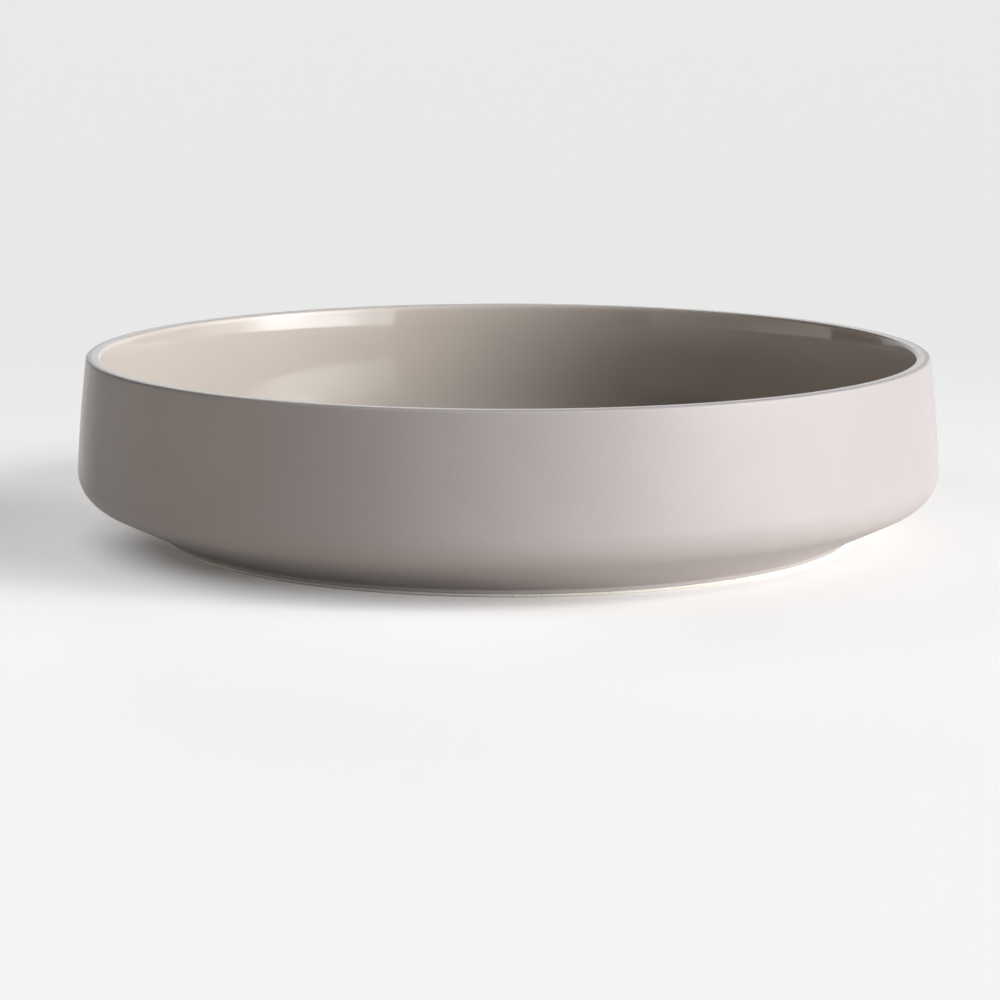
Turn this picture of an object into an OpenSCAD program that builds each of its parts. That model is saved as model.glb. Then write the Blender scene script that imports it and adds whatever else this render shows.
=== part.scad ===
// Wide, shallow pasta bowl in glazed stoneware, in millimetres.
// One fired piece: a stoneware body on a low foot ring, a glossy glaze inside, and a satin
// matte glaze outside, over the lip and in the recess under the floor. The foot ring is bare.
// The origin is the centre of the foot ring on the table, and +Z is the bowl's axis.

/* [Bowl] */
// Widest diameter, across the shoulder
bowl_d = 230; // [190:1:290]
// Height from the table to the top of the lip
bowl_h = 48.6; // [42:0.2:62]
// Thickness of the glazes on the clay
glaze_t = 0.4; // [0.2:0.05:0.5]

/* [Outer wall] */
// Height of the widest place, in the middle of the shoulder curve
shoulder_h = 18.5; // [15:0.1:22]
// Radius of the shoulder curve between the underside slope and the wall
shoulder_r = 9; // [6:0.5:12]
// Inward lean of the wall where it leaves the shoulder, in degrees
wall_lean = 3.5; // [1:0.25:5]
// Radius of the wall's slight outward bow
wall_bow_r = 460; // [300:10:900]

/* [Lip] */
// Radius of the lip's crisp outer corner
lip_outer_r = 0.8; // [0.6:0.1:1.2]
// Width of the flat on top of the lip
lip_flat = 2.2; // [1.4:0.1:3]
// Width of the matte glaze on the flat, as far as its seam with the glossy glaze
matte_lip = 0.7; // [0.3:0.1:1.2]
// Radius of the lip's inner corner
lip_inner_r = 1; // [0.8:0.1:1.5]

/* [Inside] */
// Outward slant of the inner wall just below the lip, in degrees
flare_slant = 13.5; // [8:0.5:16]
// Radius of the flare between that slant and the straight part of the wall
flare_r = 28; // [15:1:38]
// Outward slant of the straight part of the inner wall, in degrees
wall_draft = 4.1; // [1:0.1:6]
// Share of the inner wall, from the floor sweep up to the flare, that curves inward
curved_share = 0.56; // [0.2:0.02:0.9]
// Radius of that slow curve
slow_r = 88; // [70:1:150]
// Thickness of the floor over the recess, and of the sweep over the underside slope
floor_t = 4.6; // [4:0.1:7]
// Radius of the sweep from the floor up into the wall
floor_sweep_r = 22; // [16:0.5:28]

/* [Foot ring] */
// Outside diameter of the foot ring
foot_d = 185.4; // [140:1:195]
// Height at which the underside slope would meet the foot ring's face
foot_h = 2; // [1.8:0.1:5]
// Radius of the soft corner between the foot ring and the slope
foot_fillet_r = 0.9; // [0.5:0.1:1.5]
// Width of the foot ring
foot_w = 5.5; // [4:0.5:9]
// Radius of the sponged edges of the foot ring
foot_edge_r = 0.6; // [0.3:0.1:0.8]
// Height of the bare clay below the end of the glaze
bare_h = 0.9; // [0.8:0.05:1.2]
// Depth of the recess inside the foot ring
recess_h = 2.6; // [2.4:0.1:3.5]
// Radius of the corner between the recess and the foot ring
recess_r = 1.2; // [0.8:0.1:1.2]

/* [Hidden] */
// Facets of a drawn circle, and of the much larger circles of the walls' bows
$fn = 180;
bow_fn = 1080;
// Overrun of the cutting shapes
cut_over = 3;
// Overlap by which two neighbouring curves cross, so that no sliver is left where they touch
hair = 0.002;
right_angle = 90;
half_turn = 180;

bowl_r = bowl_d / 2;
foot_r = foot_d / 2;
recess_edge = foot_r - foot_w;

// Unit vector at angle a above the outward direction
function ray(a) = [cos(a), sin(a)];

// Centre of the shoulder curve, which is the bowl's widest place
shoulder_c = [bowl_r - shoulder_r - hair, shoulder_h];

// Rise of the underside slope, the line from the top of the foot ring that touches the shoulder
slope_run = shoulder_c - [foot_r, foot_h];
slope_angle = atan2(slope_run.y, slope_run.x) - asin(shoulder_r / norm(slope_run));
slope_normal = slope_angle + right_angle;

// Height of the underside slope at radius x, on a line that lies t above it
function slope_z(x, t) = foot_h + (x - foot_r) * tan(slope_angle) + t / cos(slope_angle);

// Centre of the foot ring's corner, outside the clay: it touches the ring's face and the slope
fillet_c = [foot_r + foot_fillet_r, slope_z(foot_r + foot_fillet_r, -foot_fillet_r)];

// Centre of the wall's bow, which leaves the shoulder without a break
bow_c = shoulder_c - (wall_bow_r - shoulder_r) * ray(wall_lean);

// Direction, seen from the bow's centre, of the point at distance r and height z
function bow_angle(r, z) = asin((z - bow_c.y) / r);

// Centre of the lip's outer corner: the curve touches the bow and the flat top
lip_angle = bow_angle(wall_bow_r - lip_outer_r, bowl_h - lip_outer_r);
lip_c = bow_c + (wall_bow_r - lip_outer_r) * ray(lip_angle);

// Seam between the two glazes, and the centres of the lip's inner corner and of the flare
seam_r = lip_c.x - matte_lip;
inner_c = [lip_c.x - lip_flat, bowl_h - lip_inner_r];
flare_angle = half_turn - flare_slant;
flare_c = inner_c - (flare_r - lip_inner_r) * ray(flare_angle);

// Top of the straight part of the inner wall, and its radius at height z
straight_top = flare_c + flare_r * ray(half_turn - wall_draft);
function straight_x(z) = straight_top.x - (straight_top.y - z) * tan(wall_draft);

// Rise of the slow curve above a floor sweep that stands on a floor at height z, the angle at
// which the two curves meet, and their centres
function rise(z) = curved_share * (straight_top.y - z - floor_sweep_r * (1 - sin(wall_draft)));
function meeting(z) = -asin(sin(wall_draft) + rise(z) / (slow_r - floor_sweep_r));
function slow_top(z) = z + floor_sweep_r * (1 - sin(wall_draft)) + rise(z);
function slow_centre(z) = [straight_x(slow_top(z)), slow_top(z)] - slow_r * ray(-wall_draft);
function sweep_centre(z) = slow_centre(z) + (slow_r - floor_sweep_r) * ray(meeting(z));

// The floor is floor_t thick over the recess, and the sweep is as thick over the slope
recess_floor_z = recess_h + floor_t;
slope_floor_z = slope_z(sweep_centre(recess_floor_z).x, floor_t + floor_sweep_r) - floor_sweep_r;
floor_z = max(recess_floor_z, slope_floor_z);

// What a rounding of radius r about c takes off a sharp corner, or fills into one,
// between its two directions of touch
module corner(c, r, start, end, overlap = hair) {
    reach = r + cut_over;
    difference() {
        polygon([c, c + reach * ray(start), c + reach * (ray(start) + ray(end)), c + reach * ray(end)]);
        translate(c) circle(r = r + overlap);
    }
}

// Disc whose edge is the bow of a wall
module bow_disc(r) {
    translate(bow_c) circle(r = r, $fn = bow_fn);
}

// Half section of the whole outside, filled to the axis and taken in by t all round
module outside_section(t) {
    far = bowl_r + cut_over;
    difference() {
        union() {
            intersection() {
                polygon([
                    [0, 0],
                    [foot_r - t, 0],
                    [foot_r - t, slope_z(foot_r - t, t)],
                    [far, slope_z(far, t)],
                    [far, bowl_h - t],
                    [0, bowl_h - t]
                ]);
                bow_disc(wall_bow_r - t);
            }
            corner(fillet_c, foot_fillet_r + t, slope_normal, half_turn);
        }
        corner([foot_r - t - foot_edge_r, foot_edge_r], foot_edge_r, -right_angle, 0);
        corner(shoulder_c, shoulder_r - t, slope_normal - half_turn, wall_lean);
        corner(lip_c, lip_outer_r - t, lip_angle, right_angle);
    }
}

// Half section of the hollow inside, taken t into the wall all round and open at the top.
// The slow curve and the flare run on past their ends, under the curves that follow them.
module hollow_section(t) {
    open_z = bowl_h + cut_over / 2;
    draft_t = t / cos(wall_draft);
    difference() {
        polygon([
            [0, floor_z - t],
            [straight_x(floor_z - t) + draft_t, floor_z - t],
            [straight_x(open_z) + draft_t, open_z],
            [0, open_z]
        ]);
        corner(slow_centre(floor_z), slow_r + t, -right_angle, -wall_draft);
        corner(sweep_centre(floor_z), floor_sweep_r + t, -right_angle, meeting(floor_z), 2 * hair);
    }
    corner(flare_c, flare_r - t, flare_angle - wall_draft, half_turn - wall_draft);
    corner(inner_c, lip_inner_r - t, right_angle, flare_angle, 2 * hair);
    translate([0, bowl_h - t]) square([seam_r, t + open_z - bowl_h]);
}

// Half section of the recess inside the foot ring, taken t into the clay all round
module recess_section(t) {
    edge = recess_edge + t;
    corner_c = [recess_edge - recess_r, recess_h - recess_r];
    difference() {
        translate([0, -cut_over]) square([edge, recess_h + t + cut_over]);
        corner(corner_c, recess_r + t, 0, right_angle);
    }
    corner([edge + foot_edge_r, foot_edge_r], foot_edge_r, half_turn, half_turn + right_angle);
}

// Everything below height z, in half section
module below(z) {
    translate([0, -cut_over]) square([bowl_r, z + cut_over]);
}

module stoneware_body() {
    color([0.86, 0.81, 0.73])
        rotate_extrude()
            difference() {
                outside_section(glaze_t);
                hollow_section(glaze_t);
                recess_section(glaze_t);
            }
}

module inner_gloss_glaze() {
    color([0.62, 0.57, 0.54])
        rotate_extrude()
            difference() {
                intersection() {
                    hollow_section(glaze_t);
                    below(bowl_h);
                }
                hollow_section(0);
            }
}

module outer_matte_glaze() {
    color([0.70, 0.66, 0.63])
        rotate_extrude()
            difference() {
                outside_section(0);
                outside_section(glaze_t);
                below(bare_h);
                corner([foot_r - glaze_t, bare_h + glaze_t], glaze_t, -right_angle, 0);
                translate([0, bowl_h / 2]) square([seam_r, bowl_h]);
            }
}

module underside_glaze() {
    color([0.66, 0.62, 0.59])
        rotate_extrude()
            difference() {
                recess_section(glaze_t);
                recess_section(0);
                below(bare_h);
                corner(
                    [recess_edge + glaze_t, bare_h + glaze_t], glaze_t,
                    half_turn, half_turn + right_angle
                );
            }
}

stoneware_body();
inner_gloss_glaze();
outer_matte_glaze();
underside_glaze();
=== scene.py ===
# Dressed scene of the stoneware pasta bowl: fine turned shells, glazes, floor, lights and camera.
# Profiles are in millimetres, in (radius, height), and repeat the values of the CAD source.
import math

import bmesh
import bpy
from mathutils import Matrix, Vector


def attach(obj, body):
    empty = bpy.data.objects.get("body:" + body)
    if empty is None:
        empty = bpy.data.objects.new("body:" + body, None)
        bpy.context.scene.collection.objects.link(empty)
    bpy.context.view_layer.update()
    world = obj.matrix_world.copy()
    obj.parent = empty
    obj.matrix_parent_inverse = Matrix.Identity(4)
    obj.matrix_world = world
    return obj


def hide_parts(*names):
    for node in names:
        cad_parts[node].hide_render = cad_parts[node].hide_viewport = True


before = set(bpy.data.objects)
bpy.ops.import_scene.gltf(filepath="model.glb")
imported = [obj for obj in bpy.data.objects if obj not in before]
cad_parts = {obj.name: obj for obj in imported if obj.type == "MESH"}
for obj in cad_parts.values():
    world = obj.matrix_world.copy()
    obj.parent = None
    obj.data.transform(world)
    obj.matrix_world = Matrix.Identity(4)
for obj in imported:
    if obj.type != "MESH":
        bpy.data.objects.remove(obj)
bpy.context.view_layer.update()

# Whole bowl and glaze
BOWL_R = 115.0
BOWL_H = 48.6
GLAZE_T = 0.4

# Outer wall: shoulder curve, inward lean in degrees and slight bow
SHOULDER_H = 18.5
SHOULDER_R = 9.0
WALL_LEAN = 3.5
WALL_BOW_R = 460.0

# Lip: outer corner, flat top, matte part of the flat and inner corner
LIP_OUTER_R = 0.8
LIP_FLAT = 2.2
MATTE_LIP = 0.7
LIP_INNER_R = 1.0

# Inside: flare under the lip, straight draft, slow curve, floor and floor sweep; slants in degrees
FLARE_SLANT = 13.5
FLARE_R = 28.0
WALL_DRAFT = 4.1
CURVED_SHARE = 0.56
SLOW_R = 88.0
FLOOR_T = 4.6
SWEEP_R = 22.0

# Foot ring, bare clay at its bottom, and recess inside it
FOOT_R = 92.7
FOOT_H = 2.0
FOOT_FILLET_R = 0.9
FOOT_W = 5.5
FOOT_EDGE_R = 0.6
BARE_H = 0.9
RECESS_H = 2.6
RECESS_R = 1.2

# Facets of the shells: number around the axis, fewest in an arc, largest turn in degrees and chord
SEGMENTS = 360
ARC_FEWEST = 3
TURN = 2.0
WALL_TURN = 1.0
CURVE_TURN = 2.5
SMALL_TURN = 6.0
LIP_OUTER_TURN = 7.0
LIP_INNER_TURN = 5.0
EDGE_TURN = 9.0
BEAD_TURN = 15.0
CHORD = 1.2
LINE_CHORD = 1.5
FLOOR_CHORD = 2.5
FLARE_CHORD = 0.6
RING_CHORD = 0.4
LIP_CHORD = 0.3

# Metres in a millimetre, the distance under which points coincide, and the angle of a sharp edge
MM = 0.001
SAME = 1e-4
SHARP_ANGLE = math.radians(40)


def ray(deg):
    """Unit vector at an angle above the outward direction."""
    a = math.radians(deg)
    return Vector((math.cos(a), math.sin(a)))


def arc(centre, radius, start, end, turn=TURN, chord=CHORD):
    """Points of an arc in degrees: no step turns more than turn or is longer than chord."""
    span = abs(end - start)
    n = max(ARC_FEWEST, math.ceil(span / turn), math.ceil(math.radians(span) * radius / chord))
    return [Vector(centre) + radius * ray(start + (end - start) * i / n) for i in range(n + 1)]


def line(a, b, chord=LINE_CHORD):
    """Points of a straight run with no step longer than chord."""
    n = max(1, math.ceil((Vector(b) - Vector(a)).length / chord))
    return [Vector(a).lerp(Vector(b), i / n) for i in range(n + 1)]


def chain(*parts):
    """Joins runs of points and drops the ones that coincide."""
    out = []
    for p in (p for part in parts for p in part):
        if not out or (p - out[-1]).length > SAME:
            out.append(Vector(p))
    return out


# The underside slope rises from the foot ring and touches the shoulder curve
shoulder_c = Vector((BOWL_R - SHOULDER_R, SHOULDER_H))
slope_run = shoulder_c - Vector((FOOT_R, FOOT_H))
slope = math.degrees(math.atan2(slope_run.y, slope_run.x) - math.asin(SHOULDER_R / slope_run.length))
slope_normal = slope + 90


def slope_z(x, t):
    """Height of the underside slope at radius x, on a line that lies t above it."""
    angle = math.radians(slope)
    return FOOT_H + (x - FOOT_R) * math.tan(angle) + t / math.cos(angle)


def bow_angle(r, z):
    """Direction, seen from the bow's centre, of the point at distance r and height z."""
    return math.degrees(math.asin((z - bow_c.y) / r))


# Centres of the foot ring's corner, the wall's bow and the lip's outer corner
fillet_x = FOOT_R + FOOT_FILLET_R
fillet_c = Vector((fillet_x, slope_z(fillet_x, -FOOT_FILLET_R)))
bow_c = shoulder_c - (WALL_BOW_R - SHOULDER_R) * ray(WALL_LEAN)
lip_angle = bow_angle(WALL_BOW_R - LIP_OUTER_R, BOWL_H - LIP_OUTER_R)
lip_c = bow_c + (WALL_BOW_R - LIP_OUTER_R) * ray(lip_angle)

# Seam of the glazes on the lip, the inner corner, the flare and the top of the straight wall
seam_r = lip_c.x - MATTE_LIP
inner_c = Vector((lip_c.x - LIP_FLAT, BOWL_H - LIP_INNER_R))
flare_angle = 180 - FLARE_SLANT
flare_c = inner_c - (FLARE_R - LIP_INNER_R) * ray(flare_angle)
draft_angle = 180 - WALL_DRAFT
straight_top = flare_c + FLARE_R * ray(draft_angle)


def inner_curves(z):
    """Slow curve's centre, floor sweep's centre and their meeting angle, for a floor at z."""
    draft = math.radians(WALL_DRAFT)
    sweep_top = z + SWEEP_R * (1 - math.sin(draft))
    rise = CURVED_SHARE * (straight_top.y - sweep_top)
    meet = -math.degrees(math.asin(math.sin(draft) + rise / (SLOW_R - SWEEP_R)))
    top = sweep_top + rise
    wall_x = straight_top.x - (straight_top.y - top) * math.tan(draft)
    slow = Vector((wall_x, top)) - SLOW_R * ray(-WALL_DRAFT)
    return slow, slow + (SLOW_R - SWEEP_R) * ray(meet), meet


# The floor is FLOOR_T thick over the recess, and the sweep is as thick over the slope
recess_floor_z = RECESS_H + FLOOR_T
low_sweep = inner_curves(recess_floor_z)[1]
floor_z = max(recess_floor_z, slope_z(low_sweep.x, FLOOR_T + SWEEP_R) - SWEEP_R)
slow_c, sweep_c, meeting = inner_curves(floor_z)


def outside(t, foot_from, top_to):
    """Outside profile taken in by t, from height foot_from on the foot ring to radius top_to."""
    edge_c = Vector((FOOT_R - t - FOOT_EDGE_R, FOOT_EDGE_R))
    foot_edge = arc(edge_c, FOOT_EDGE_R, -90, 0, EDGE_TURN) if foot_from < FOOT_EDGE_R else []
    slope_start = fillet_c + (FOOT_FILLET_R + t) * ray(slope_normal)
    slope_end = shoulder_c + (SHOULDER_R - t) * ray(slope_normal - 180)
    return chain(
        foot_edge,
        line((FOOT_R - t, max(foot_from, FOOT_EDGE_R)), (FOOT_R - t, fillet_c.y), RING_CHORD),
        arc(fillet_c, FOOT_FILLET_R + t, 180, slope_normal, SMALL_TURN),
        line(slope_start, slope_end),
        arc(shoulder_c, SHOULDER_R - t, slope_normal - 180, WALL_LEAN, CURVE_TURN),
        arc(bow_c, WALL_BOW_R - t, WALL_LEAN, lip_angle),
        arc(lip_c, LIP_OUTER_R - t, lip_angle, 90, LIP_OUTER_TURN),
        line((lip_c.x, BOWL_H - t), (top_to, BOWL_H - t), LIP_CHORD),
    )


def inside(t, top_from):
    """Inside profile taken t into the wall, from radius top_from on the lip to the axis."""
    straight_start = straight_top + t * ray(-WALL_DRAFT)
    straight_end = slow_c + (SLOW_R + t) * ray(-WALL_DRAFT)
    return chain(
        line((top_from, BOWL_H - t), (inner_c.x, BOWL_H - t), LIP_CHORD),
        arc(inner_c, LIP_INNER_R - t, 90, flare_angle, LIP_INNER_TURN),
        arc(flare_c, FLARE_R - t, flare_angle, draft_angle, WALL_TURN, FLARE_CHORD),
        line(straight_start, straight_end),
        arc(slow_c, SLOW_R + t, -WALL_DRAFT, meeting, WALL_TURN),
        arc(sweep_c, SWEEP_R + t, meeting, -90, CURVE_TURN),
        line((sweep_c.x, floor_z - t), (0, floor_z - t), FLOOR_CHORD),
    )


def recess(t, edge_from):
    """Recess profile taken t into the clay, from the axis to height edge_from on the ring."""
    edge = FOOT_R - FOOT_W + t
    corner_c = Vector((FOOT_R - FOOT_W - RECESS_R, RECESS_H - RECESS_R))
    edge_c = (edge + FOOT_EDGE_R, FOOT_EDGE_R)
    foot_edge = arc(edge_c, FOOT_EDGE_R, 180, 270, EDGE_TURN) if edge_from < FOOT_EDGE_R else []
    return chain(
        line((0, RECESS_H + t), (corner_c.x, RECESS_H + t), FLOOR_CHORD),
        arc(corner_c, RECESS_R + t, 90, 0, SMALL_TURN),
        line((edge, corner_c.y), (edge, max(edge_from, FOOT_EDGE_R)), RING_CHORD),
        foot_edge,
    )


def backwards(points):
    return list(reversed(points))


def turned(node, outline):
    """Closed piece of revolution from a closed half section, in place of a CAD node."""
    bm = bmesh.new()
    angles = [2 * math.pi * i / SEGMENTS for i in range(SEGMENTS)]
    rings = []
    for p in outline:
        r, z = p.x * MM, p.y * MM
        around = angles if p.x > SAME else angles[:1]
        rings.append([bm.verts.new((r * math.cos(a), r * math.sin(a), z)) for a in around])
    for here, there in zip(rings, rings[1:] + rings[:1]):
        if len(here) == len(there) == 1:
            continue
        for i in range(SEGMENTS):
            j = (i + 1) % SEGMENTS
            if len(here) == 1:
                bm.faces.new((here[0], there[j], there[i]))
            elif len(there) == 1:
                bm.faces.new((here[i], here[j], there[0]))
            else:
                bm.faces.new((here[i], here[j], there[j], there[i]))
    bmesh.ops.recalc_face_normals(bm, faces=bm.faces)
    mesh = bpy.data.meshes.new(node + "_turned")
    bm.to_mesh(mesh)
    bm.free()
    mesh.shade_smooth()
    mesh.set_sharp_from_angle(angle=SHARP_ANGLE)
    piece = bpy.data.objects.new(node + "_turned", mesh)
    bpy.context.scene.collection.objects.link(piece)
    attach(piece, "root")
    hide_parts(node)
    return piece


def stoneware_body():
    outline = chain(outside(GLAZE_T, 0, seam_r), inside(GLAZE_T, seam_r), recess(GLAZE_T, 0))
    return turned("stoneware_body", outline)


def inner_gloss_glaze():
    outline = chain(inside(0, seam_r), backwards(inside(GLAZE_T, seam_r)))
    return turned("inner_gloss_glaze", outline)


def outer_matte_glaze():
    """The glaze ends above the bare foot ring in a small rounded bead."""
    bead = arc((FOOT_R - GLAZE_T, BARE_H + GLAZE_T), GLAZE_T, -90, 0, BEAD_TURN)
    outer = outside(0, BARE_H + GLAZE_T, seam_r)
    outline = chain(bead, outer, backwards(outside(GLAZE_T, BARE_H, seam_r)))
    return turned("outer_matte_glaze", outline)


def underside_glaze():
    """The glaze ends above the bare foot ring in a small rounded bead."""
    bead_c = (FOOT_R - FOOT_W + GLAZE_T, BARE_H + GLAZE_T)
    bead = arc(bead_c, GLAZE_T, -90, -180, BEAD_TURN)
    outline = chain(backwards(recess(0, BARE_H + GLAZE_T)), recess(GLAZE_T, BARE_H), bead)
    return turned("underside_glaze", outline)


# Noise values at which a soft patch starts and is full
PATCH_NOISE = (0.3, 0.7)


class Nodes:
    """Empty node tree with short calls. A value is a number, a colour or another node's socket."""

    def __init__(self, owner):
        owner.use_nodes = True
        self.tree = owner.node_tree
        self.tree.nodes.clear()

    def feed(self, socket, value):
        """Links a socket to a value that is a socket, and sets it to any other."""
        if isinstance(value, bpy.types.NodeSocket):
            self.tree.links.new(value, socket)
        else:
            socket.default_value = value

    def set(self, node, **values):
        """Feeds a node's sockets by name, with _ for a space."""
        for name, value in values.items():
            self.feed(node.inputs[name.replace("_", " ")], value)

    def add(self, kind, *values, **named):
        """New node, whose sockets are fed in their order or by name."""
        node = self.tree.nodes.new("ShaderNode" + kind)
        for socket, value in zip(node.inputs, values):
            self.feed(socket, value)
        self.set(node, **named)
        return node

    def shade(self, kind, *values, **named):
        """First output of a new node."""
        return self.add(kind, *values, **named).outputs[0]

    def calc(self, operation, *values):
        node = self.add("Math", *values)
        node.operation = operation
        return node.outputs[0]

    def product(self, first, *others):
        for other in others:
            first = self.calc("MULTIPLY", first, other)
        return first

    def highest(self, a, b):
        return self.calc("MAXIMUM", a, b)

    def rest_of(self, value):
        return self.calc("SUBTRACT", 1.0, value)

    def ramp(self, value, start, end, low=0.0, high=1.0, smooth=True):
        """Goes from low at start to high at end, and stays level beyond them."""
        node = self.add("MapRange", Value=value, From_Min=start, From_Max=end, To_Min=low, To_Max=high)
        node.interpolation_type = "SMOOTHSTEP" if smooth else "LINEAR"
        return node.outputs["Result"]

    def noise(self, at, scale, detail, roughness=0.5):
        """Noise on coordinates in metres: a scale of 100 gives features of about 10 mm."""
        node = self.add("TexNoise", Vector=at, Scale=scale, Detail=detail, Roughness=roughness)
        return node.outputs["Fac"]

    def clouds(self, at, scale, detail, roughness=0.5, low=0.0, high=1.0):
        """Soft patches that go from low to high."""
        return self.ramp(self.noise(at, scale, detail, roughness), *PATCH_NOISE, low, high)

    def specks(self, at, scale, detail, start, end, amount):
        """Small spots up to amount, where the noise is above start."""
        return self.ramp(self.noise(at, scale, detail), start, end, 0.0, amount)

    def blend(self, factor, a, b):
        """Colour a where factor is 0 and b where it is 1."""
        node = self.tree.nodes.new("ShaderNodeMix")
        node.data_type = "RGBA"
        self.feed(node.inputs["Factor"], factor)
        from_socket, to_socket = (socket for socket in node.inputs if socket.type == "RGBA")
        self.feed(from_socket, a)
        self.feed(to_socket, b)
        return next(socket for socket in node.outputs if socket.type == "RGBA")

    def bump(self, height, distance, **normal):
        return self.shade("Bump", Height=height, Strength=1.0, Distance=distance, **normal)

    def place(self):
        """Object coordinates of the shaded point, its x and y, distance from the axis and height."""
        at = self.add("TexCoord").outputs["Object"]
        x, y, z = self.add("SeparateXYZ", at).outputs
        square = self.calc("ADD", self.calc("POWER", x, 2.0), self.calc("POWER", y, 2.0))
        return at, x, y, self.calc("SQRT", square), z

    def rays(self):
        """1 for rays from the camera, and 1 for rays from a reflection or refraction."""
        kinds = self.add("LightPath").outputs
        return kinds["Is Camera Ray"], self.highest(kinds["Is Glossy Ray"], kinds["Is Transmission Ray"])


def rgb(red, green, blue):
    return (red, green, blue, 1)


def grey(value):
    return rgb(value, value, value)


def principled(name, piece):
    """New material on a piece: its nodes and its shader."""
    made = bpy.data.materials.new(name)
    nodes = Nodes(made)
    shader = nodes.add("BsdfPrincipled")
    nodes.add("OutputMaterial", Surface=shader.outputs["BSDF"])
    piece.data.materials.append(made)
    return nodes, shader


# In the materials a noise is (scale, detail, and roughness if it isn't 0.5), specks are (scale,
# detail, start, end, amount), and depths, heights and radii are in metres.

# Glossy glaze: a little darker where it pools in the sweep, and paler on the lip, where it thins and where a
# highlight is painted
GLOSS_LOW = rgb(0.452, 0.405, 0.368)
GLOSS_HIGH = rgb(0.468, 0.418, 0.376)
GLOSS_FLECK = rgb(0.34, 0.305, 0.27)
GLOSS_POOLED = rgb(0.37, 0.33, 0.295)
GLOSS_THIN_AND_HIGHLIGHT = rgb(0.60, 0.555, 0.515)
GLOSS_CLOUDS = (22, 4)
GLOSS_FLECKS = (520, 2, 0.62, 0.80, 0.12)
POOL_HEIGHT = (0.0072, 0.016)
POOL_RADIUS = (0.070, 0.088)
POOL_SHARE = 0.22
THIN_AND_HIGHLIGHT_HEIGHT = (0.0468, 0.0485)
THIN_AND_HIGHLIGHT_SHARE = 0.85
GLOSS_WAVES = (46, 1)
GLOSS_WAVE_DEPTH = 0.00006
GLOSS_SKIN = (650, 2)
GLOSS_SKIN_DEPTH = 0.000003
GLOSS_SMEARS = (120, 3)
GLOSS_ROUGHNESS = (0.28, 0.36)
GLOSS_SPECULAR = 0.05
COAT_IOR = 1.5
GLOSS_COAT_ROUGHNESS = 0.07
UPPER_WALL = (0.035, 0.0415)
WALL_COAT = (0.20, 0.68)
LIP_HEIGHT = (0.0474, 0.0485)
LIP_COAT = 0.32


def dress_gloss(piece):
    nodes, shader = principled("gloss_glaze", piece)
    at, _, _, radius, height = nodes.place()
    tone = nodes.blend(nodes.clouds(at, *GLOSS_CLOUDS), GLOSS_LOW, GLOSS_HIGH)
    tone = nodes.blend(nodes.specks(at, *GLOSS_FLECKS), tone, GLOSS_FLECK)
    pool = nodes.product(nodes.ramp(height, *POOL_HEIGHT, POOL_SHARE, 0.0), nodes.ramp(radius, *POOL_RADIUS))
    tone = nodes.blend(pool, tone, GLOSS_POOLED)
    # Paler lip: thinner glaze plus a painted highlight
    tone = nodes.blend(nodes.ramp(height, *THIN_AND_HIGHLIGHT_HEIGHT, 0.0, THIN_AND_HIGHLIGHT_SHARE), tone, GLOSS_THIN_AND_HIGHLIGHT)
    skin = nodes.bump(nodes.noise(at, *GLOSS_WAVES), GLOSS_WAVE_DEPTH)
    skin = nodes.bump(nodes.noise(at, *GLOSS_SKIN), GLOSS_SKIN_DEPTH, Normal=skin)
    coat = nodes.calc(
        "ADD", nodes.ramp(height, *UPPER_WALL, *WALL_COAT), nodes.ramp(height, *LIP_HEIGHT, 0.0, LIP_COAT))
    low, high = GLOSS_ROUGHNESS
    nodes.set(
        shader, Base_Color=tone, Normal=skin, Coat_Normal=skin,
        Roughness=nodes.clouds(at, *GLOSS_SMEARS, low=low, high=high), Specular_IOR_Level=GLOSS_SPECULAR,
        Coat_Weight=coat, Coat_IOR=COAT_IOR, Coat_Roughness=GLOSS_COAT_ROUGHNESS,
    )


# Satin matte glazes: soft clouds of tone, faint flecks, a fine dry skin and throwing rings. Their
# coat grows towards grazing views, except below the shoulder, and on the flat of the lip.
SATIN_CLOUDS = (18, 5, 0.55)
SATIN_FLECKS = (900, 3, 0.35, 0.75, 0.10)
# Paler on the lip, where the glaze thins and where a highlight is painted
SATIN_LIP_HIGHLIGHT_HEIGHT = (0.0476, 0.0485)
SATIN_LIP_HIGHLIGHT_SHARE = 0.35
SATIN_LIP_HIGHLIGHT_GAIN = 1.25
SATIN_BEAD_HEIGHT = (0.0009, 0.0016)
SATIN_BEAD_SHARE = 0.30
SATIN_BEAD_GAIN = 0.8
RING_STRETCH = (0.15, 0.15, 8.0)
RING_NOISE = (30, 2)
RING_DEPTH = 0.00002
DRY_SKIN = (1400, 3, 0.6)
DRY_SKIN_DEPTH = 0.000012
SATIN_SMEARS = (60, 4)
SMOOTHER = 0.04
ROUGHER = 0.05
SATIN_SPECULAR = 0.4
SATIN_COAT_ROUGHNESS = 0.22
GRAZING = (0.70, 0.97)
GRAZING_COAT = (0.04, 0.72)
ABOVE_SLOPE = (0.012, 0.020)
LIP_FLAT_HEIGHT = (0.0483, 0.0486)
LIP_FLAT_COAT = 0.40


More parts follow.
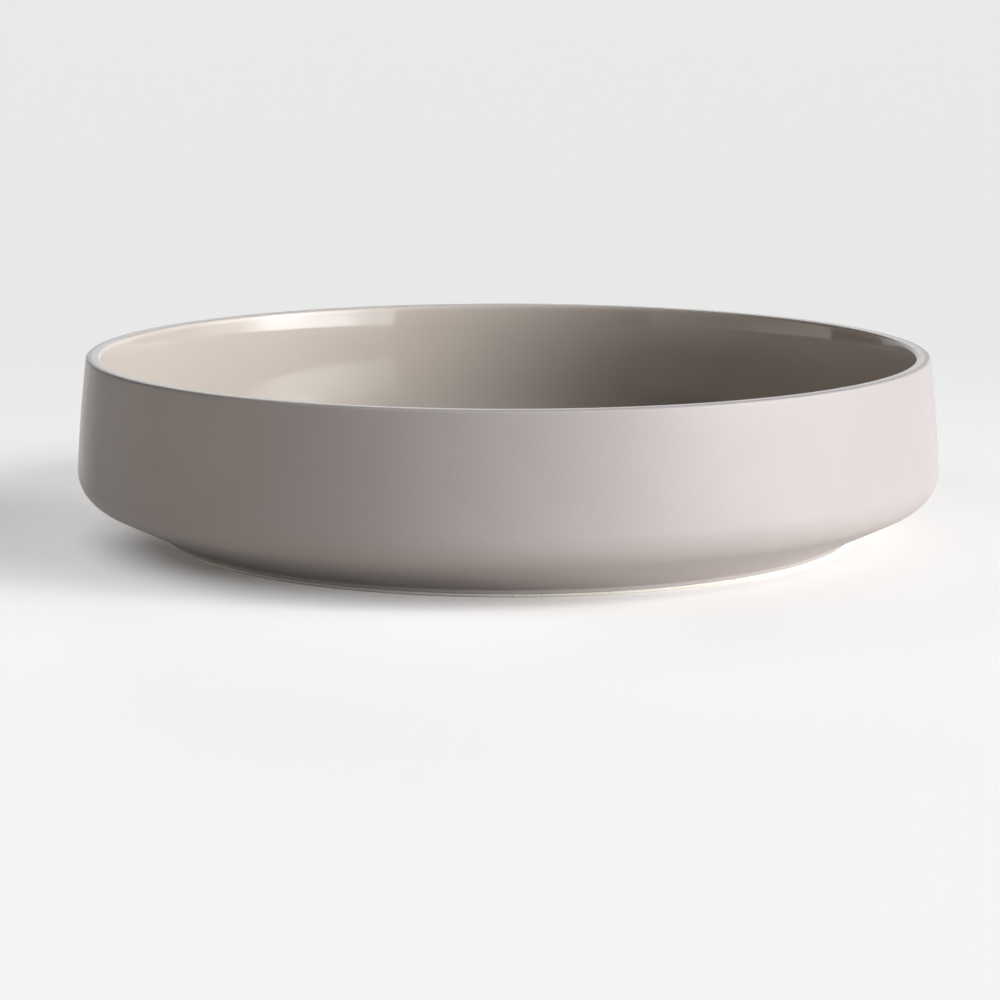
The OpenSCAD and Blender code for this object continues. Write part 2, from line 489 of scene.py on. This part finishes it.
def dress_satin(piece, name, low, high, fleck, roughness):
    nodes, shader = principled(name, piece)
    at, _, _, _, height = nodes.place()
    # Pale lip tone: thinner glaze plus a painted highlight
    thin_lip_and_highlight_tone = rgb(*(SATIN_LIP_HIGHLIGHT_GAIN * v for v in high[:3]))
    bead_tone = rgb(*(SATIN_BEAD_GAIN * v for v in low[:3]))
    tone = nodes.blend(nodes.clouds(at, *SATIN_CLOUDS), low, high)
    tone = nodes.blend(nodes.specks(at, *SATIN_FLECKS), tone, fleck)
    tone = nodes.blend(nodes.ramp(height, *SATIN_LIP_HIGHLIGHT_HEIGHT, 0.0, SATIN_LIP_HIGHLIGHT_SHARE), tone, thin_lip_and_highlight_tone)
    tone = nodes.blend(nodes.ramp(height, *SATIN_BEAD_HEIGHT, SATIN_BEAD_SHARE, 0.0), tone, bead_tone)
    stretched = nodes.shade("Mapping", Vector=at, Scale=RING_STRETCH)
    skin = nodes.bump(nodes.noise(stretched, *RING_NOISE), RING_DEPTH)
    skin = nodes.bump(nodes.noise(at, *DRY_SKIN), DRY_SKIN_DEPTH, Normal=skin)
    facing = nodes.add("LayerWeight").outputs["Facing"]
    coat = nodes.product(nodes.ramp(facing, *GRAZING, *GRAZING_COAT), nodes.ramp(height, *ABOVE_SLOPE))
    coat = nodes.calc("ADD", coat, nodes.ramp(height, *LIP_FLAT_HEIGHT, 0.0, LIP_FLAT_COAT))
    smears = nodes.clouds(at, *SATIN_SMEARS, low=roughness - SMOOTHER, high=roughness + ROUGHER)
    nodes.set(
        shader, Base_Color=tone, Normal=skin, Coat_Normal=skin,
        Roughness=smears, Specular_IOR_Level=SATIN_SPECULAR,
        Coat_Weight=coat, Coat_IOR=COAT_IOR, Coat_Roughness=SATIN_COAT_ROUGHNESS,
    )


# Bare clay: cream stoneware, sponged, with fine sand and a few iron specks
CLAY_LOW = rgb(0.73, 0.70, 0.66)
CLAY_HIGH = rgb(0.83, 0.80, 0.76)
CLAY_IRON = rgb(0.30, 0.20, 0.13)
CLAY_SAND = (1100, 4, 0.65)
CLAY_IRON_SPECKS = (700, 1, 0.72, 0.78, 0.7)
CLAY_GRAIN = (1600, 4, 0.7)
CLAY_GRAIN_DEPTH = 0.00005
CLAY_ROUGHNESS = 0.86


def dress_clay(piece):
    nodes, shader = principled("bare_clay", piece)
    at = nodes.place()[0]
    tone = nodes.blend(nodes.clouds(at, *CLAY_SAND), CLAY_LOW, CLAY_HIGH)
    tone = nodes.blend(nodes.specks(at, *CLAY_IRON_SPECKS), tone, CLAY_IRON)
    grain = nodes.bump(nodes.noise(at, *CLAY_GRAIN), CLAY_GRAIN_DEPTH)
    nodes.set(shader, Base_Color=tone, Normal=grain, Roughness=CLAY_ROUGHNESS)


dress_clay(stoneware_body())
dress_gloss(inner_gloss_glaze())
dress_satin(
    outer_matte_glaze(), "matte_glaze",
    rgb(0.424, 0.391, 0.389), rgb(0.442, 0.407, 0.404), fleck=rgb(0.35, 0.31, 0.30), roughness=0.50,
)
dress_satin(
    underside_glaze(), "underside_glaze",
    rgb(0.416, 0.383, 0.378), rgb(0.434, 0.398, 0.392), fleck=rgb(0.34, 0.30, 0.29), roughness=0.48,
)

# Floor: half width, front and back edge in metres, diffuse tone, sheen and warm bounced light
FLOOR_HALF = 12
FLOOR_FRONT = -6
FLOOR_BACK = 30
FLOOR_TONE = 0.86
SHEEN_TONE = 0.09
SHEEN_ROUGHNESS = 0.4
BOUNCE_LEFT = rgb(0.66, 0.61, 0.54)
BOUNCE_RIGHT = rgb(0.97, 0.91, 0.82)
BOUNCE_UNDER = rgb(0.28, 0.25, 0.21)

# Steps over the floor: what they run along, start and end in metres, and the values there.
# The crease is the shade round the foot, weaker on the right, in front and towards the back.
# The floor gives less light beside the key light, and more round the left rim and behind it.
# It bounces less light on the left, and least under the bowl there.
CREASE = [
    ("radius", 0.090, 0.120, 0.95, 0.0),
    ("x", 0.01, 0.05, 1.0, 0.2),
    ("y", -0.10, -0.05, 0.6, 1.0),
    ("y", -0.03, 0.015, 1.0, 0.45),
]
BESIDE_KEY = [("radius", 0.115, 0.20, 0.32, 0.0), ("x", -0.02, 0.06, 0.0, 1.0)]
LEFT_RIM = [("radius", 0.10, 0.15, 0.07, 0.0), ("x", -0.09, -0.06, 1.0, 0.0)]
LEFT_BACK = [
    ("y", 0.015, 0.085, 0.0, 0.15),
    ("y", 0.08, 0.24, 1.0, 0.0),
    ("x", -0.10, -0.05, 1.0, 0.0),
]
UNDER_LEFT = [("radius", 0.100, 0.125, 0.95, 0.0), ("x", -0.02, 0.04, 1.0, 0.0)]
KEY_SIDE = ("x", -0.06, 0.06, 0.0, 1.0)
TO_BACKDROP = ("y", 0.0, 0.36, 0.388, 0.278)


def dress_floor(piece):
    """White, with a broad soft sheen. The camera and reflections see it with a light of its own, in
    the steps above. All other light bounces off warmer tones."""
    made = bpy.data.materials.new("floor_white")
    nodes = Nodes(made)
    _, x, y, radius, _ = nodes.place()
    along = {"x": x, "y": y, "radius": radius}

    def steps(rows):
        return nodes.product(*(nodes.ramp(along[name], *row) for name, *row in rows))

    name, *fade = TO_BACKDROP
    own_light = nodes.calc("ADD", nodes.ramp(along[name], *fade, smooth=False), steps(LEFT_BACK))
    own_light = nodes.product(own_light, nodes.rest_of(steps(BESIDE_KEY)))
    own_light = nodes.calc("ADD", own_light, steps(LEFT_RIM))
    own_light = nodes.product(own_light, nodes.rest_of(steps(CREASE)))
    bounced = nodes.blend(steps([KEY_SIDE]), BOUNCE_LEFT, BOUNCE_RIGHT)
    bounced = nodes.blend(steps(UNDER_LEFT), bounced, BOUNCE_UNDER)

    lift = nodes.shade("Emission", Color=grey(1), Strength=own_light)
    seen = nodes.shade("AddShader", nodes.shade("BsdfDiffuse", Color=grey(FLOOR_TONE)), lift)
    bounce = nodes.shade("BsdfDiffuse", Color=bounced)
    shown = nodes.highest(*nodes.rays())
    sheen = nodes.shade("BsdfAnisotropic", Color=grey(SHEEN_TONE), Roughness=SHEEN_ROUGHNESS)
    surface = nodes.shade("AddShader", nodes.shade("MixShader", shown, bounce, seen), sheen)
    nodes.add("OutputMaterial", Surface=surface)
    piece.data.materials.append(made)


def floor():
    corners = [
        (-FLOOR_HALF, FLOOR_FRONT, 0), (FLOOR_HALF, FLOOR_FRONT, 0),
        (FLOOR_HALF, FLOOR_BACK, 0), (-FLOOR_HALF, FLOOR_BACK, 0),
    ]
    mesh = bpy.data.meshes.new("floor")
    mesh.from_pydata(corners, [], [(0, 1, 2, 3)])
    piece = bpy.data.objects.new("floor", mesh)
    bpy.context.scene.collection.objects.link(piece)
    return piece


dress_floor(floor())

# The studio is the world, lit in patches by azimuth (0 towards the camera, + to its right) and
# elevation in degrees. A span is where its first edge starts and ends, and where its last does.
EVERY_WAY = ((-500, -400), (500, 600))
OVERHEAD = ((58, 68), (100, 110))
LOW = ((-0.5, 2.0), (8, 16))
MID = ((8, 16), (18, 30))
HIGH = ((18, 30), (34, 46))
KEY_A = ((34.5, 35.5), (42, 54))
KEY_B = ((42, 54), (56, 72))
KEY_C = ((56, 72), (74, 90))
KEY_D = ((74, 90), (92, 112))
FAR_LEFT = ((-112, -110), (-84, -72))
NEAR_LEFT = ((-84, -72), (-44.5, -42.5))
WHOLE_LEFT = ((-112, -110), (-44.5, -42.5))
LEFT_LOW = ((-1, 1), (7, 13))
LEFT_HIGH = ((7, 13), (18, 24))
BEHIND = ((138, 142), (500, 600))
BEHIND_LOW = ((-1, 0), (14, 24))

# Large key light at the right, from its near edge A to its far edge D, and a weak one overhead
KEY_LIGHTS = [
    (5.6, KEY_A, LOW), (4.4, KEY_A, MID),
    (11.5, KEY_B, LOW), (8.6, KEY_B, MID), (4.6, KEY_B, HIGH),
    (12.6, KEY_C, LOW), (14.4, KEY_C, MID), (13.6, KEY_C, HIGH),
    (2.4, KEY_D, LOW), (5.4, KEY_D, MID),
    (0.25, EVERY_WAY, OVERHEAD),
]
# Warm reflectors at the left
LEFT_LIGHTS = [
    (2.0, FAR_LEFT, LEFT_LOW),
    (1.3, NEAR_LEFT, LEFT_LOW),
    (1.1, WHOLE_LEFT, LEFT_HIGH),
]
LEFT_COLOUR = rgb(1.0, 0.94, 0.865)
BACKDROP_TONE = 0.83
BASE_LIGHT = 0.004


def studio():
    """World with the lights and the backdrop. Camera rays see its pale tone all round."""
    world = bpy.data.worlds.new("studio")
    bpy.context.scene.world = world
    nodes = Nodes(world)
    x, y, z = nodes.add("SeparateXYZ", nodes.add("TexCoord").outputs["Generated"]).outputs
    towards_camera = nodes.product(y, -1.0)
    azimuth = nodes.product(nodes.calc("ARCTAN2", x, towards_camera), math.degrees(1))
    elevation = nodes.product(nodes.calc("ARCSINE", z), math.degrees(1))
    aside = nodes.calc("ABSOLUTE", azimuth)

    def window(angle, span):
        return nodes.product(nodes.ramp(angle, *span[0]), nodes.ramp(angle, *span[1], 1.0, 0.0))

    def background(colour, base, patches):
        total = nodes.calc("ADD", base, 0.0)
        for patch in patches:
            total = nodes.calc("ADD", total, patch)
        return nodes.shade("Background", Color=colour, Strength=total)

    def lit(lights):
        return [
            nodes.product(window(azimuth, across), window(elevation, upward), strength)
            for strength, across, upward in lights
        ]

    behind = nodes.product(window(aside, BEHIND), window(elevation, BEHIND_LOW))
    backdrop = nodes.product(behind, BACKDROP_TONE)
    key = background(grey(1), BASE_LIGHT, lit(KEY_LIGHTS) + [backdrop])
    left = background(LEFT_COLOUR, 0.0, lit(LEFT_LIGHTS))
    lamps = nodes.shade("AddShader", key, left)
    pale = nodes.shade("Background", Color=grey(BACKDROP_TONE), Strength=1.0)
    from_camera, from_gloss = nodes.rays()
    shown = nodes.highest(from_camera, nodes.product(from_gloss, behind))
    nodes.add("OutputWorld", Surface=nodes.shade("MixShader", shown, lamps, pale))


studio()

# Camera: fitted to the photo together with the bowl's outline, in metres, degrees and pixels
CAMERA_AT = (0, -0.83025, 0.15399)
PITCH = 9.98999
YAW = -0.15031
ROLL = 0.05159
FOCAL_PX = 3120.06
IMAGE_PX = 1000
SENSOR_MM = 36
CLIP_NEAR = 0.01
CLIP_FAR = 50


def photo_camera():
    pitch, yaw, roll = (math.radians(a) for a in (PITCH, YAW, ROLL))
    level = Vector((math.sin(yaw), math.cos(yaw), 0))
    ahead = math.cos(pitch) * level - math.sin(pitch) * Vector((0, 0, 1))
    right = ahead.cross(Vector((0, 0, 1))).normalized()
    up = right.cross(ahead)
    rolled_right = right * math.cos(roll) + up * math.sin(roll)
    rolled_up = up * math.cos(roll) - right * math.sin(roll)
    turn = Matrix((rolled_right, rolled_up, -ahead)).transposed().to_4x4()
    camera = bpy.data.objects.new("camera", bpy.data.cameras.new("camera"))
    bpy.context.scene.collection.objects.link(camera)
    camera.data.sensor_width = SENSOR_MM
    camera.data.lens = SENSOR_MM * FOCAL_PX / IMAGE_PX
    camera.data.clip_start = CLIP_NEAR
    camera.data.clip_end = CLIP_FAR
    camera.matrix_world = Matrix.Translation(CAMERA_AT) @ turn
    bpy.context.scene.camera = camera


photo_camera()
bpy.context.scene.view_settings.view_transform = "Standard"
